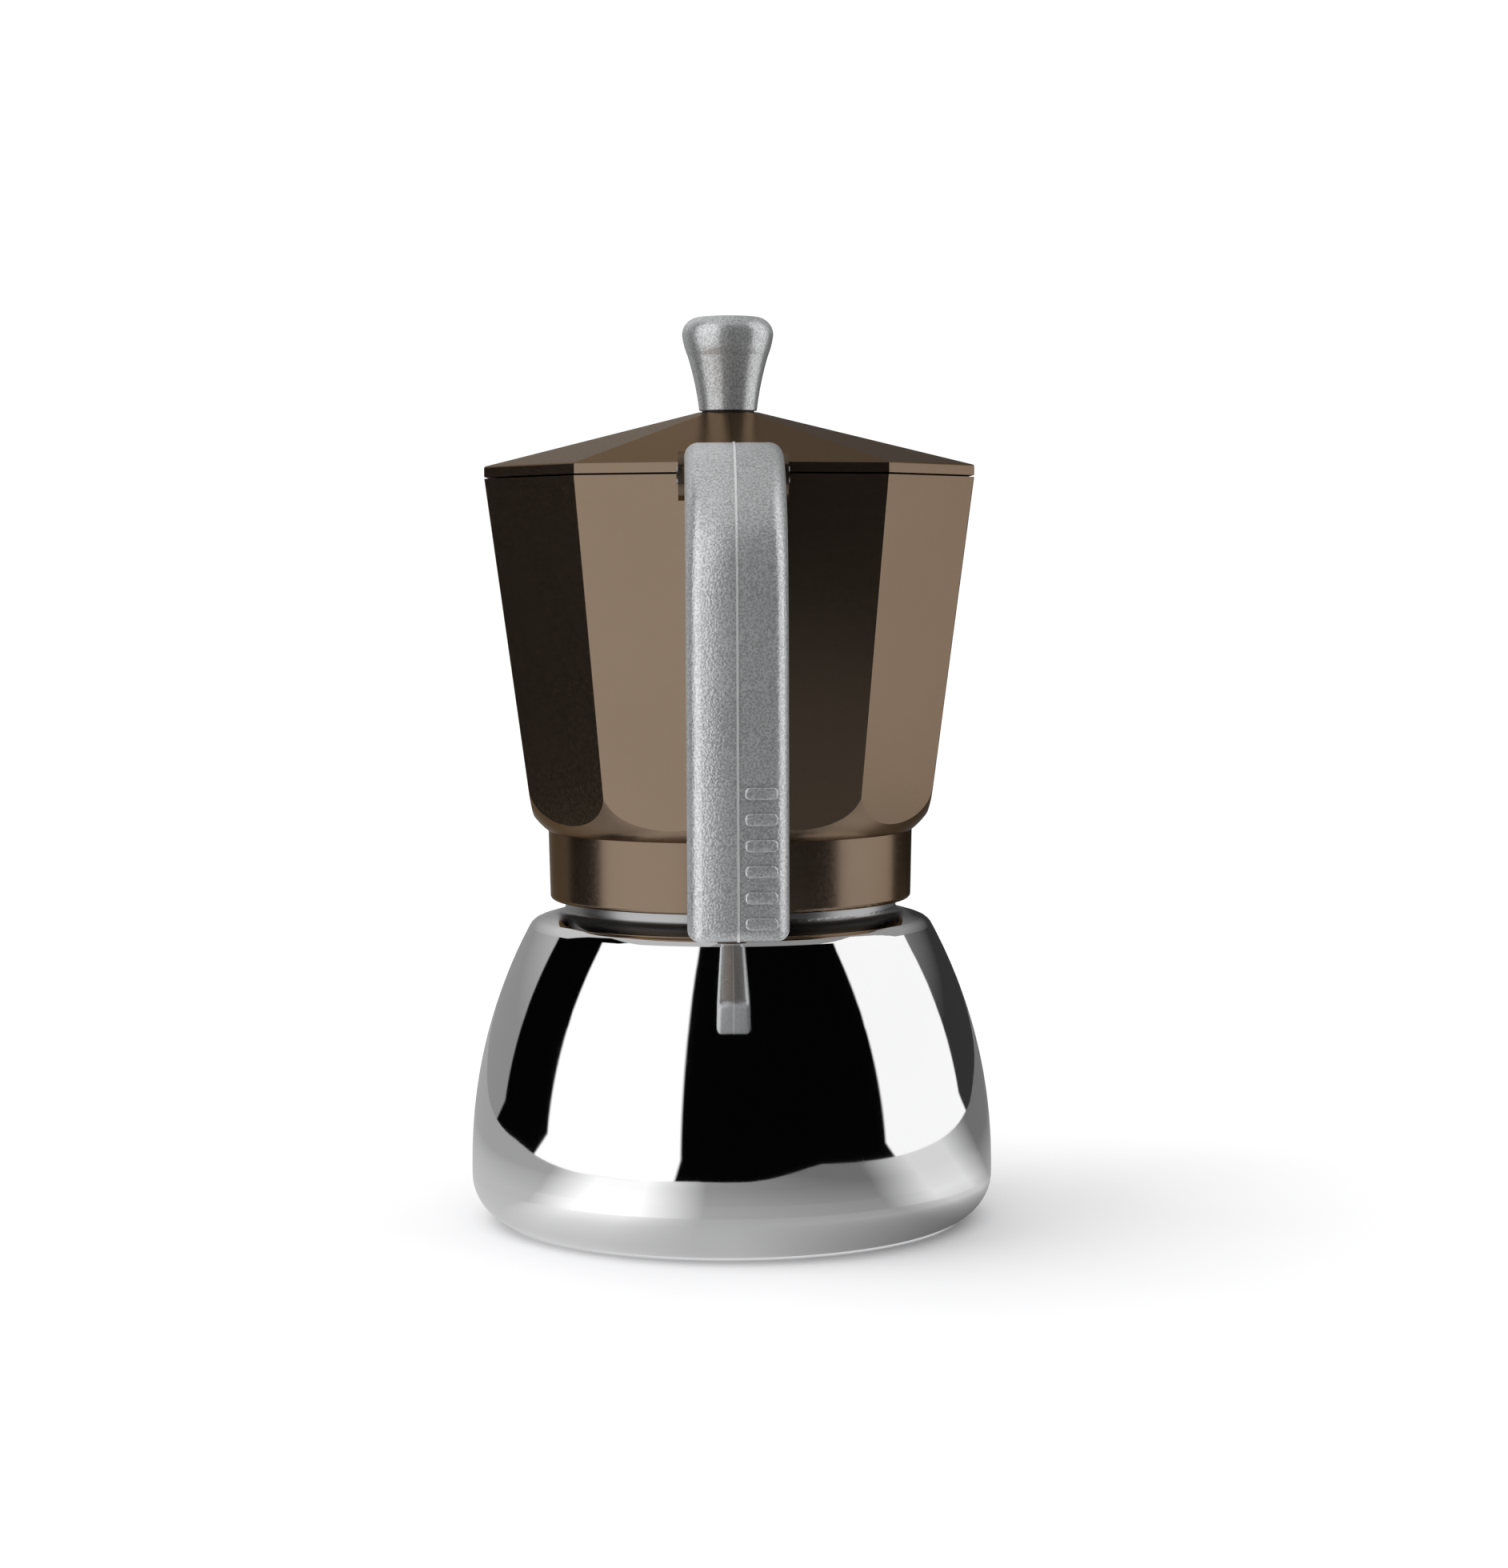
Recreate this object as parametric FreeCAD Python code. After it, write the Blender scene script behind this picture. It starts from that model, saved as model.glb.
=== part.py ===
import FreeCAD, Part
import math
import os

# Moka pot, in millimetres. The pot stands on z = 0 with its axis on Z.
# The spout points to +Y, the handle and the lid's hinge are at -Y.

# ---------------------------------------------------------------- boiler
wall = 1.2
floor_thickness = 2.4
belly_r = 52.4
belly_z = 11.5
belly_corner_r = 9.2
flank_arc_r = 100.4
flank_top_z = 59.0
shoulder_corner_r = 3.2
shoulder_slope_deg = 16.0
neck_r = 33.2
neck_fillet_r = 1.4
neck_top_z = 76.0

# ---------------------------------------------------------------- screw joint
lead = 4.0
boss_crest_r = 34.7
nut_crest_r = 33.9
nut_root_r = 35.3
tooth_root_half = 1.05
tooth_crest_half = 0.5
tooth_bury = 0.3
boss_thread_z = 65.4
boss_thread_turns = 2.0
nut_thread_z = 65.9
nut_thread_turns = 1.9

# ---------------------------------------------------------------- safety valve, along +Y
valve_z = 36.0
valve_seat_y = 51.2
valve_inner_seat_y = 45.2
valve_boss_r = 7.5
valve_shank_r = 4.0
valve_tail_y = 41.0
valve_bore_r = 2.5
valve_hex_flats = 13.0
valve_hex_y = (52.2, 57.0)
valve_chamfer_drop = 1.8
valve_chamfer_run = 3.0
valve_washer_r = 6.9
valve_nut_y = (42.0, 45.2)
valve_stop_y = 43.6
valve_tail_hole_r = 1.2
valve_cap_r = 4.6
valve_cap_y = (55.4, 58.4)
valve_cap_hole_r = 1.05
valve_cap_edge = 1.1
pin_shaft_r = 0.9
pin_collar_r = 2.2
pin_collar_length = 1.0
pin_tip_y = 61.0
spring_r = 1.72
spring_wire_r = 0.3
spring_turns = 6

# ---------------------------------------------------------------- funnel
lip_r = 33.0
lip_thickness = 0.9
basket_r = 31.3
basket_wall = 0.9
basket_floor_z = 56.0
cone_foot_z = 51.0
cone_wall = 1.0
sieve_ledge = 1.2
stem_r = 5.0
stem_wall = 0.8
stem_foot_z = 7.0
stem_collar_z = 46.5
stem_collar_r = 6.2
stem_notch_half = 1.5
stem_notch_depth = 2.0
sieve_thickness = 0.8
sieve_hole_r = 0.75
sieve_ring_step = 3.4
sieve_pitch = 3.6
sieve_last_ring = 27.1

# ---------------------------------------------------------------- seal and filter plate
seal_gap = 0.1
seal_r = 34.5
seal_bore_r = 27.5
seal_thickness = 3.4
seal_edge_r = 0.4
filter_rim_r = 31.5
filter_thickness = 0.6
filter_dish_depth = 1.6
filter_dish_r = 26.5
filter_dish_flare = 0.4
filter_hole_r = 0.6
filter_ring_step = 3.6
filter_pitch = 3.8
filter_last_ring = 24.0

# ---------------------------------------------------------------- collector
sides = 10
skirt_r = 36.5
skirt_foot_r = 36.2
skirt_bottom_z = 64.5
skirt_edge_r = 0.8
bowl_start_z = 78.3
bowl_mid = (39.7, 81.6)
bowl_end = (41.9, 86.8)
body_low_z = 83.0
body_low_r = 41.4
body_top_z = 148.1
body_top_r = 50.3
body_wall = 2.4
chamber_floor_z = 87.0
chamber_corner_r = 2.0
filter_seat_z = 81.1
steam_cone_r = 26.0
steam_cone_top_z = 84.2
facet_edge_r = 0.9

spout_sections = (
    # height, tip distance from the axis, half width where it meets the wall
    (114.0, 46.9, 2.6),
    (125.0, 52.4, 6.4),
    (137.0, 58.6, 10.0),
    (148.1, 64.2, 12.8),
)
spout_root_y = 43.0
spout_tip_r = 1.9
spout_channel_r = 0.3
spout_wall = 2.0
spout_wall_at_tip = 2.8

# ---------------------------------------------------------------- chimney
chimney_spigot_r = 6.0
chimney_foot_r = 8.6
chimney_head_r = 6.8
chimney_top_z = 126.0
chimney_bore_r = 3.4
cap_plug_z = 120.0
cap_bore_r = 2.4
cap_top_z = 135.0
cap_edge_r = 3.0
cap_outlet_z = 129.6
cap_outlet_r = 1.9

# ---------------------------------------------------------------- lid hinge and handle
hinge_y = -54.0
hinge_z = 147.6
hinge_pin_r = 1.6
hinge_pin_half = 10.4
hinge_clearance = 0.1
barrel_r = 3.1
barrel_half = 7.3
ear_inner_x = 7.7
ear_outer_x = 10.1
ear_r = 4.6
tongue_half = 4.0
tongue_y = (-64.0, -55.0)
tongue_z = (136.5, 144.5)
web_root = (-44.5, 128.0)
web_tail = (-57.0, 138.5)
handle_start_y = -59.2
handle_bend_y = -60.0
handle_bend_r = 30.0
handle_lean_deg = 2.5
handle_thickness = 18.5
handle_outer_half = 9.33
handle_inner_half = 7.0
handle_top_z = 153.4
handle_foot_z = 65.1
handle_edge_r = 2.6
handle_foot_r = 2.2
parting_width = 0.45
parting_height = 0.16
handle_pin_r = 1.5
handle_pin_half = 7.4
handle_pin_y = -61.4
handle_pin_z = 140.5

# ---------------------------------------------------------------- lid and knob
lid_gap = 0.35
lid_rim_height = 2.0
lid_apex_z = 161.4
lid_apex_r = 6.2
lid_thickness = 1.8
lid_rim_width = 2.6
lid_edge_r = 0.5
lid_hollow_step = 0.6
lid_hollow_apex_r = 6.6
ear_arm_y = -45.5
ear_arm_rise = 0.5
ear_shoulder_y = -50.5
beak_tip_y = 62.6
beak_tip_r = 1.2
beak_half = 12.2
beak_ridge_y = 36.0
knob_washer_thickness = 0.4
knob_washer_r = 5.2
knob_foot_r = 5.75
knob_waist = ((6.75, 167.8), (8.0, 172.6))
knob_flare = ((8.75, 174.9), (9.1, 176.8))
knob_edge_r = 3.5
knob_top_z = 180.3
screw_r = 2.0
screw_head_r = 4.0
screw_head_height = 2.2
screw_top_z = 172.0
screw_slot_half = 0.5
screw_slot_depth = 1.0
screw_edge_r = 1.0

Z_AXIS = FreeCAD.Vector(0, 0, 1)
X_AXIS = FreeCAD.Vector(1, 0, 0)
ORIGIN = FreeCAD.Vector(0, 0, 0)

os.makedirs("parts", exist_ok=True)


def vector(x, y, z):
    return FreeCAD.Vector(x, y, z)


def bend(start, heading_deg, turn_deg, radius):
    """Mid and end point of an arc that leaves start at a heading and turns left (+) or right (-)."""
    side = math.copysign(1.0, turn_deg)
    heading = math.radians(heading_deg)
    centre_r = start[0] - side * radius * math.sin(heading)
    centre_z = start[1] + side * radius * math.cos(heading)

    def point(share):
        angle = heading + math.radians(turn_deg) * share
        return (centre_r + side * radius * math.sin(angle), centre_z - side * radius * math.cos(angle))

    return (point(0.5), point(1.0))


def outline_face(start, steps):
    """Closed face in the XZ plane. A step is an end point, or a (mid, end) pair for an arc."""
    edges = []
    first = vector(start[0], 0, start[1])
    here = first
    for step in steps:
        if isinstance(step[0], tuple):
            mid = vector(step[0][0], 0, step[0][1])
            end = vector(step[1][0], 0, step[1][1])
            edges.append(Part.Arc(here, mid, end).toShape())
        else:
            end = vector(step[0], 0, step[1])
            edges.append(Part.makeLine(here, end))
        here = end
    edges.append(Part.makeLine(here, first))
    return Part.Face(Part.Wire(edges))


def turned(start, steps):
    """Solid of revolution about Z from an outline of (radius, height) points."""
    return outline_face(start, steps).revolve(ORIGIN, Z_AXIS, 360)


def tube(inner_r, outer_r, low, high):
    return turned((inner_r, low), [(outer_r, low), (outer_r, high), (inner_r, high)])


def rod(radius, low, high):
    return Part.makeCylinder(radius, high - low, vector(0, 0, low))


def cross_rod(radius, half_length, y, z):
    """Round bar along X."""
    return Part.makeCylinder(radius, 2 * half_length, vector(-half_length, y, z), X_AXIS)


def box(x_range, y_range, z_range):
    size = (x_range[1] - x_range[0], y_range[1] - y_range[0], z_range[1] - z_range[0])
    return Part.makeBox(size[0], size[1], size[2], vector(x_range[0], y_range[0], z_range[0]))


def polygon_points(radius, z):
    """Corners of the ten-sided section, one corner on +Y and one on -Y."""
    points = []
    for index in range(sides):
        angle = math.pi / 2 + 2 * math.pi * index / sides
        points.append(vector(radius * math.cos(angle), radius * math.sin(angle), z))
    return points


def faceted(*levels):
    """Solid with flat ten-sided walls through the given (circumradius, height) levels."""
    rings = [polygon_points(radius, z) for radius, z in levels]
    bottom = list(reversed(rings[0]))
    faces = [Part.Face(Part.makePolygon(ring + ring[:1])) for ring in (bottom, rings[-1])]
    for lower, upper in zip(rings, rings[1:]):
        for index in range(sides):
            follow = (index + 1) % sides
            corners = [lower[index], lower[follow], upper[follow], upper[index], lower[index]]
            faces.append(Part.Face(Part.makePolygon(corners)))
    shell = Part.Shell(faces)
    shell.sewShape()
    return Part.Solid(shell)


def softened(solid, radius, test):
    """The solid with a fillet on every edge that passes the test."""
    return solid.makeFillet(radius, [edge for edge in solid.Edges if test(edge)]).Solids[0]


def helical_ridge(centre_z, turns, phase_turns, root_r, crest_r):
    """Right-hand trapezoid ridge, starting at centre_z and at a phase in turns about Z."""
    helix = Part.makeHelix(lead, lead * turns, root_r)
    section = Part.Wire(Part.makePolygon([
        vector(root_r, 0, -tooth_root_half),
        vector(crest_r, 0, -tooth_crest_half),
        vector(crest_r, 0, tooth_crest_half),
        vector(root_r, 0, tooth_root_half),
        vector(root_r, 0, -tooth_root_half),
    ]))
    ridge = Part.Wire(helix).makePipeShell([section], True, True)
    ridge.rotate(ORIGIN, Z_AXIS, 360 * phase_turns)
    ridge.translate(vector(0, 0, centre_z))
    return ridge


def along_y(shape, z):
    """Turn a solid made on the Z axis so that its heights run along +Y, at height z."""
    shape = shape.copy()
    shape.rotate(ORIGIN, X_AXIS, -90)
    shape.translate(vector(0, 0, z))
    return shape


def hexagon(across_flats, low, high):
    radius = across_flats / math.sqrt(3)
    corners = [vector(radius * math.cos(math.radians(60 * k)), radius * math.sin(math.radians(60 * k)), low)
               for k in range(6)]
    return Part.Face(Part.makePolygon(corners + corners[:1])).extrude(vector(0, 0, high - low))


def ring_holes(radius, ring_step, pitch, last_ring, low, high):
    """Small round holes on concentric rings, joined in one compound."""
    holes = [rod(radius, low, high)]
    ring_r = ring_step
    while ring_r <= last_ring:
        count = int(2 * math.pi * ring_r / pitch)
        for index in range(count):
            angle = 2 * math.pi * index / count
            hole = rod(radius, low, high)
            hole.translate(vector(ring_r * math.cos(angle), ring_r * math.sin(angle), 0))
            holes.append(hole)
        ring_r += ring_step
    return Part.makeCompound(holes)


def rounded_wire(corners):
    """Closed wire through (point, radius) corners in one plane, with a tangent arc at each."""
    count = len(corners)
    arcs = []
    for index, (here, radius) in enumerate(corners):
        to_before = (corners[index - 1][0] - here).normalize()
        to_after = (corners[(index + 1) % count][0] - here).normalize()
        half_angle = to_before.getAngle(to_after) / 2
        reach = radius / math.tan(half_angle)
        bisector = (to_before + to_after).normalize()
        mid = here + bisector * (radius / math.sin(half_angle) - radius)
        arcs.append((here + to_before * reach, mid, here + to_after * reach))
    edges = []
    for index, (start, mid, end) in enumerate(arcs):
        edges.append(Part.Arc(start, mid, end).toShape())
        edges.append(Part.makeLine(end, arcs[(index + 1) % count][0]))
    return Part.Wire(edges)


def flank_r(z, inset):
    """Radius of the boiler's curved flank, inset from its outer face."""
    return belly_r - flank_arc_r + math.sqrt((flank_arc_r - inset) ** 2 - (z - belly_z) ** 2)


def flank_heading(z, inset):
    """Heading in degrees, in (radius, height), of the flank where it ends."""
    return 90 + math.degrees(math.asin((z - belly_z) / (flank_arc_r - inset)))


def boiler_solid(inset, floor_z, top_r, top_z):
    """The boiler's full outer form, or its hollow when inset from it."""
    corner_r = belly_corner_r - inset
    side_r = belly_r - inset
    top_flank_z = flank_top_z - inset
    flat_r = side_r - corner_r
    steps = [(flat_r, floor_z)]
    steps.append(bend((flat_r, floor_z), 0, 90, corner_r))
    steps.append((side_r, belly_z))
    mid_z = (belly_z + top_flank_z) / 2
    flank_top = (flank_r(top_flank_z, inset), top_flank_z)
    steps.append(((flank_r(mid_z, inset), mid_z), flank_top))
    heading = flank_heading(top_flank_z, inset)
    slope = 180 - shoulder_slope_deg
    corner = bend(flank_top, heading, slope - heading, shoulder_corner_r - inset)
    steps.append(corner)
    turn = -(90 - shoulder_slope_deg)
    fillet_r = neck_fillet_r + inset
    reach = fillet_r * math.tan(math.radians(-turn / 2))
    run = corner[1][0] - top_r
    foot_z = corner[1][1] + run * math.tan(math.radians(shoulder_slope_deg))
    share = 1 - reach * math.cos(math.radians(shoulder_slope_deg)) / run
    fillet_start = (corner[1][0] - run * share, corner[1][1] + (foot_z - corner[1][1]) * share)
    steps.append(fillet_start)
    steps.append(bend(fillet_start, slope, turn, fillet_r))
    steps.append((top_r, top_z))
    steps.append((0, top_z))
    return turned((0, floor_z), steps)


def make_boiler():
    outer = boiler_solid(0, 0, neck_r, neck_top_z)
    hollow = boiler_solid(wall, floor_thickness, neck_r - wall, neck_top_z)
    valve_boss = along_y(rod(valve_boss_r, valve_inner_seat_y, valve_seat_y), valve_z)
    thread = helical_ridge(boss_thread_z, boss_thread_turns, 0, neck_r - tooth_bury, boss_crest_r)
    shell = outer.cut(hollow).fuse([valve_boss, thread])
    return shell.cut(along_y(rod(valve_shank_r, 0, valve_seat_y + 1), valve_z))


def make_valve():
    """Safety valve: washer, nut, hexagonal body, cap, sprung pin and its spring."""
    hex_low, hex_high = valve_hex_y
    body = rod(valve_shank_r, valve_tail_y, hex_low).fuse(hexagon(valve_hex_flats, hex_low, hex_high))
    body = body.cut(rod(valve_bore_r, valve_stop_y, hex_high))
    body = body.cut(rod(valve_tail_hole_r, valve_tail_y, valve_stop_y))
    wide_r = valve_hex_flats / 2 + valve_chamfer_run
    chamfer_cone = turned((0, hex_low), [
        (wide_r, hex_low),
        (wide_r, hex_high - valve_chamfer_drop),
        (valve_hex_flats / 2, hex_high),
        (0, hex_high),
    ])
    hex_trim = chamfer_cone.fuse(rod(valve_shank_r, valve_tail_y, hex_low))
    body = body.common(hex_trim)
    washer = tube(valve_shank_r, valve_washer_r, valve_seat_y, hex_low)
    nut = hexagon(valve_hex_flats, valve_nut_y[0], valve_nut_y[1])
    nut = nut.cut(rod(valve_shank_r, valve_nut_y[0], valve_nut_y[1]))
    cap_low, cap_high = valve_cap_y
    cap = turned((valve_cap_hole_r, cap_low), [
        (valve_bore_r, cap_low),
        (valve_bore_r, hex_high),
        (valve_cap_r, hex_high),
        (valve_cap_r - valve_cap_edge, cap_high),
        (valve_cap_hole_r, cap_high),
    ])
    collar_high = valve_stop_y + pin_collar_length
    tip = bend((pin_shaft_r, pin_tip_y - pin_shaft_r), 90, 90, pin_shaft_r)
    pin = turned((0, valve_stop_y), [
        (pin_collar_r, valve_stop_y),
        (pin_collar_r, collar_high),
        (pin_shaft_r, collar_high),
        (pin_shaft_r, pin_tip_y - pin_shaft_r),
        tip,
    ])
    coil_low = collar_high + spring_wire_r
    coil_height = cap_low - collar_high - 2 * spring_wire_r
    helix = Part.makeHelix(coil_height / spring_turns, coil_height, spring_r)
    wire_circle = Part.Wire(Part.makeCircle(spring_wire_r, vector(spring_r, 0, 0), vector(0, 1, 0)))
    spring = Part.Wire(helix).makePipeShell([wire_circle], True, True)
    spring.translate(vector(0, 0, coil_low))
    solids = {
        "valve_body": body,
        "valve_washer": washer,
        "valve_nut": nut,
        "valve_cap": cap,
        "valve_pin": pin,
        "valve_spring": spring,
    }
    return {name: along_y(solid, valve_z) for name, solid in solids.items()}


def make_funnel():
    """Coffee basket that hangs in the boiler's neck, with its sieve and its stem."""
    lip_top = neck_top_z + lip_thickness
    inner_r = basket_r - basket_wall
    basket = turned((stem_r, stem_collar_z), [
        (stem_collar_r, stem_collar_z),
        (stem_collar_r, cone_foot_z - cone_wall),
        (basket_r, basket_floor_z - cone_wall),
        (basket_r, neck_top_z),
        (lip_r, neck_top_z),
        (lip_r, lip_top),
        (inner_r, lip_top),
        (inner_r, basket_floor_z),
        (inner_r - sieve_ledge, basket_floor_z),
        (stem_r, cone_foot_z),
    ])
    stem = tube(stem_r - stem_wall, stem_r, stem_foot_z, cone_foot_z)
    for angle in (0, 90):
        notch_z = (stem_foot_z, stem_foot_z + stem_notch_depth)
        notch = box((-stem_r, stem_r), (-stem_notch_half, stem_notch_half), notch_z)
        notch.rotate(ORIGIN, Z_AXIS, angle)
        stem = stem.cut(notch)
    sieve_low = basket_floor_z
    sieve_high = sieve_low + sieve_thickness
    sieve = rod(inner_r, sieve_low, sieve_high)
    holes = ring_holes(sieve_hole_r, sieve_ring_step, sieve_pitch, sieve_last_ring, sieve_low, sieve_high)
    sieve = sieve.cut(holes)
    return {"funnel_basket": basket, "funnel_stem": stem, "funnel_sieve": sieve}


def make_seal():
    """Silicone ring on the funnel's lip, and the dished filter plate above it."""
    low = neck_top_z + lip_thickness + seal_gap
    high = low + seal_thickness
    ring = tube(seal_bore_r, seal_r, low, high)
    ring = softened(ring, seal_edge_r, lambda edge: edge.Closed)
    dish_low = high - filter_dish_depth
    dish_floor = dish_low + filter_thickness
    inner_foot_r = filter_dish_r - filter_thickness
    plate = turned((0, dish_low), [
        (filter_dish_r, dish_low),
        (filter_dish_r + filter_dish_flare, high),
        (filter_rim_r, high),
        (filter_rim_r, high + filter_thickness),
        (inner_foot_r + filter_dish_flare, high + filter_thickness),
        (inner_foot_r, dish_floor),
        (0, dish_floor),
    ])
    holes = ring_holes(filter_hole_r, filter_ring_step, filter_pitch, filter_last_ring, dish_low, dish_floor)
    return {"seal_ring": ring, "filter_plate": plate.cut(holes)}


def body_r(z):
    """Circumradius of the collector's ten-sided wall at a height."""
    slope = (body_top_r - body_low_r) / (body_top_z - body_low_z)
    return body_low_r + slope * (z - body_low_z)


def spout_section(height, tip_y, half_width, inset):
    """Rounded V across the spout at one height, closed inside the collector's wall."""
    tip_radius = max(spout_tip_r - inset, spout_channel_r)
    root_half = half_width - inset
    apex_y = tip_y - inset * spout_wall_at_tip / spout_wall
    apex = vector(0, apex_y + tip_radius, height)
    left = vector(-root_half, spout_root_y, height)
    right = vector(root_half, spout_root_y, height)
    half_angle = (left - apex).getAngle(right - apex) / 2
    reach = tip_radius / math.tan(half_angle)
    to_left = (left - apex).normalize()
    to_right = (right - apex).normalize()
    mid = apex - vector(0, tip_radius / math.sin(half_angle) - tip_radius, 0)
    arc_start = apex + to_left * reach
    arc_end = apex + to_right * reach
    return Part.Wire([
        Part.makeLine(left, arc_start),
        Part.Arc(arc_start, mid, arc_end).toShape(),
        Part.makeLine(arc_end, right),
        Part.makeLine(right, left),
    ])


def make_collector():
    """Ten-sided upper pot: threaded skirt, bowl, spout and the lug at the back."""
    prism = faceted((body_r(bowl_start_z), bowl_start_z), (body_top_r, body_top_z))
    prism = softened(prism, facet_edge_r, is_upright)
    wide = body_top_r + barrel_r
    bowl = turned((0, bowl_start_z), [
        (skirt_r + 0.1, bowl_start_z),
        (bowl_mid, bowl_end),
        (wide, bowl_end[1]),
        (wide, body_top_z),
        (0, body_top_z),
    ])
    spout = Part.makeLoft([spout_section(*item, 0) for item in spout_sections], True)
    outer = prism.common(bowl).fuse(spout)
    skirt_edge = bend((skirt_foot_r - skirt_edge_r, skirt_bottom_z), 0, 90, skirt_edge_r)
    skirt = turned((0, skirt_bottom_z), [
        (skirt_foot_r - skirt_edge_r, skirt_bottom_z),
        skirt_edge,
        (skirt_r, bowl_start_z),
        (0, bowl_start_z),
    ])
    outer = outer.fuse([skirt, make_lug()])
    floor_r = body_r(chamber_floor_z) - body_wall / math.cos(math.pi / sides)
    brim_r = body_top_r - body_wall / math.cos(math.pi / sides)
    channel = Part.makeLoft([spout_section(*item, spout_wall) for item in spout_sections[1:]], True)
    chamber = faceted((floor_r, chamber_floor_z), (brim_r, body_top_z))
    chamber = softened(chamber, chamber_corner_r, is_upright)
    under = turned((0, skirt_bottom_z), [
        (nut_root_r, skirt_bottom_z),
        (nut_root_r, filter_seat_z),
        (steam_cone_r, filter_seat_z),
        (chimney_spigot_r, steam_cone_top_z),
        (chimney_spigot_r, chamber_floor_z),
        (0, chamber_floor_z),
    ])
    body = outer.cut([chamber, channel, under])
    phase = (nut_thread_z - boss_thread_z) / lead - 0.5
    thread = helical_ridge(nut_thread_z, nut_thread_turns, phase, nut_root_r + tooth_bury, nut_crest_r)
    return body.fuse(thread)


def is_upright(edge):
    start, end = edge.Vertexes[0].Point, edge.Vertexes[-1].Point
    return abs(end.z - start.z) > 5


def make_lug():
    """Hinge barrel and the tongue that carries the handle, behind the collector."""
    web = Part.Face(Part.makePolygon([
        vector(-barrel_half, *web_root),
        vector(-barrel_half, *web_tail),
        vector(-barrel_half, web_tail[0], hinge_z),
        vector(-barrel_half, web_root[0], hinge_z),
        vector(-barrel_half, *web_root),
    ])).extrude(vector(2 * barrel_half, 0, 0))
    barrel = cross_rod(barrel_r, barrel_half, hinge_y, hinge_z)
    tongue = box((-tongue_half, tongue_half), tongue_y, tongue_z)
    bores = [
        cross_rod(hinge_pin_r, barrel_half, hinge_y, hinge_z),
        cross_rod(handle_pin_r, barrel_half, handle_pin_y, handle_pin_z),
    ]
    return web.fuse([barrel, tongue]).cut(bores)


def make_chimney():
    """Column that the coffee rises through, and the cap with its two outlets."""
    column = turned((chimney_bore_r, steam_cone_top_z), [
        (chimney_spigot_r, steam_cone_top_z),
        (chimney_spigot_r, chamber_floor_z),
        (chimney_foot_r, chamber_floor_z),
        (chimney_head_r, chimney_top_z),
        (chimney_bore_r, chimney_top_z),
    ])
    dome_r = chimney_head_r
    cap = turned((cap_bore_r, cap_plug_z), [
        (chimney_bore_r, cap_plug_z),
        (chimney_bore_r, chimney_top_z),
        (dome_r, chimney_top_z),
        (dome_r, cap_top_z - cap_edge_r),
        bend((dome_r, cap_top_z - cap_edge_r), 90, 90, cap_edge_r),
        (0, cap_top_z),
        (0, cap_outlet_z + cap_outlet_r),
        (cap_bore_r, cap_outlet_z + cap_outlet_r),
    ])
    outlets = cross_rod(cap_outlet_r, dome_r + 1, 0, cap_outlet_z)
    return {"chimney": column, "chimney_cap": cap.cut(outlets)}


def handle_run(section, extra):
    """Sweep a section that stands beside the lug through the bend and down the leaning grip."""
    centre = vector(0, handle_bend_y, handle_top_z - handle_bend_r)
    turn = 90 + handle_lean_deg
    lean = math.radians(handle_lean_deg)
    stub = section.extrude(vector(0, handle_start_y + extra - handle_bend_y, 0))
    curve = section.revolve(centre, X_AXIS, turn)
    end = section.copy()
    end.rotate(centre, X_AXIS, turn)
    drop = (centre.z - handle_foot_z) / math.cos(lean) - handle_bend_r * math.tan(lean) + extra
    grip = end.extrude(vector(0, math.sin(lean), -math.cos(lean)) * drop)
    return stub.fuse([curve, grip]).removeSplitter()


def is_handle_end(edge):
    """True for the edges round the handle's foot and round its face at the lug."""
    points = [vertex.Point for vertex in edge.Vertexes]
    low = handle_foot_z + handle_thickness * math.sin(math.radians(handle_lean_deg)) + parting_height
    at_foot = all(point.z < low for point in points)
    return at_foot or all(point.y > handle_start_y - 1e-6 for point in points)


def make_handle():
    """Moulded handle, narrower on its inner side, with a thin parting line down its middle."""
    low_z = handle_top_z - handle_thickness
    y = handle_bend_y
    section = Part.Face(rounded_wire([
        (vector(-handle_outer_half, y, handle_top_z), handle_edge_r),
        (vector(handle_outer_half, y, handle_top_z), handle_edge_r),
        (vector(handle_inner_half, y, low_z), handle_edge_r),
        (vector(-handle_inner_half, y, low_z), handle_edge_r),
    ]))
    grip = softened(handle_run(section, 0), handle_foot_r, is_handle_end)
    half = parting_width / 2
    low, high = low_z - parting_height, handle_top_z + parting_height
    ridge_corners = [vector(-half, y, low), vector(half, y, low), vector(half, y, high), vector(-half, y, high)]
    ridge_section = Part.Face(Part.makePolygon(ridge_corners + ridge_corners[:1]))
    ridge = handle_run(ridge_section, parting_height)
    ridge = softened(ridge, handle_foot_r + parting_height, is_ridge_corner)
    slot = box((-tongue_half, tongue_half), tongue_y, tongue_z)
    pin_hole = cross_rod(handle_pin_r, handle_outer_half, handle_pin_y, handle_pin_z)
    return grip.fuse(ridge).cut([slot, pin_hole])


def is_ridge_corner(edge):
    """True for the short cross edges at the ends of the parting line."""
    start, end = edge.Vertexes[0].Point, edge.Vertexes[-1].Point
    return abs(end.x - start.x) > parting_width / 2 and is_ridge_end(start)


def is_ridge_end(point):
    near_foot = point.z < handle_foot_z + 1
    return near_foot or point.y > handle_start_y


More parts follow.
